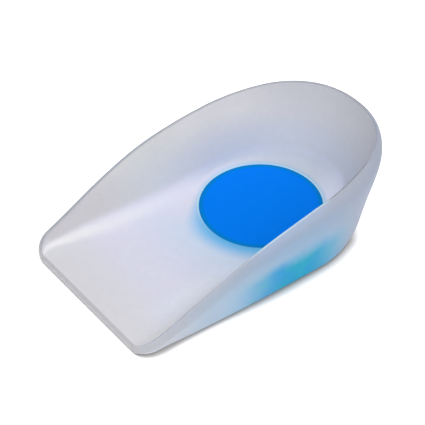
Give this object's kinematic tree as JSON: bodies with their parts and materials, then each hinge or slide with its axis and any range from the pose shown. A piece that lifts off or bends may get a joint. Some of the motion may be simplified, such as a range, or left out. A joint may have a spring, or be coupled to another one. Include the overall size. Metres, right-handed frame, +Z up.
{
  "type": "heel cup",
  "caption": "Moulded silicone heel cup with a soft gel pad under the heel, worn inside a shoe to cushion and hold the heel.",
  "frame": {"origin": "on the ground, under the middle of the cup's outer box", "axes": "+X across the cup, +Y from the toe edge to the back of the heel, +Z up out of the sole"},
  "size_m": [0.0636, 0.1052, 0.0274],
  "materials": {
    "clear_silicone": "translucent milky white silicone, satin, finely grained",
    "blue_gel": "soft saturated blue silicone gel, satin"
  },
  "bodies": {
    "root": {"cup_shell": "clear_silicone", "heel_pad": "blue_gel"}
  },
  "joints": []
}
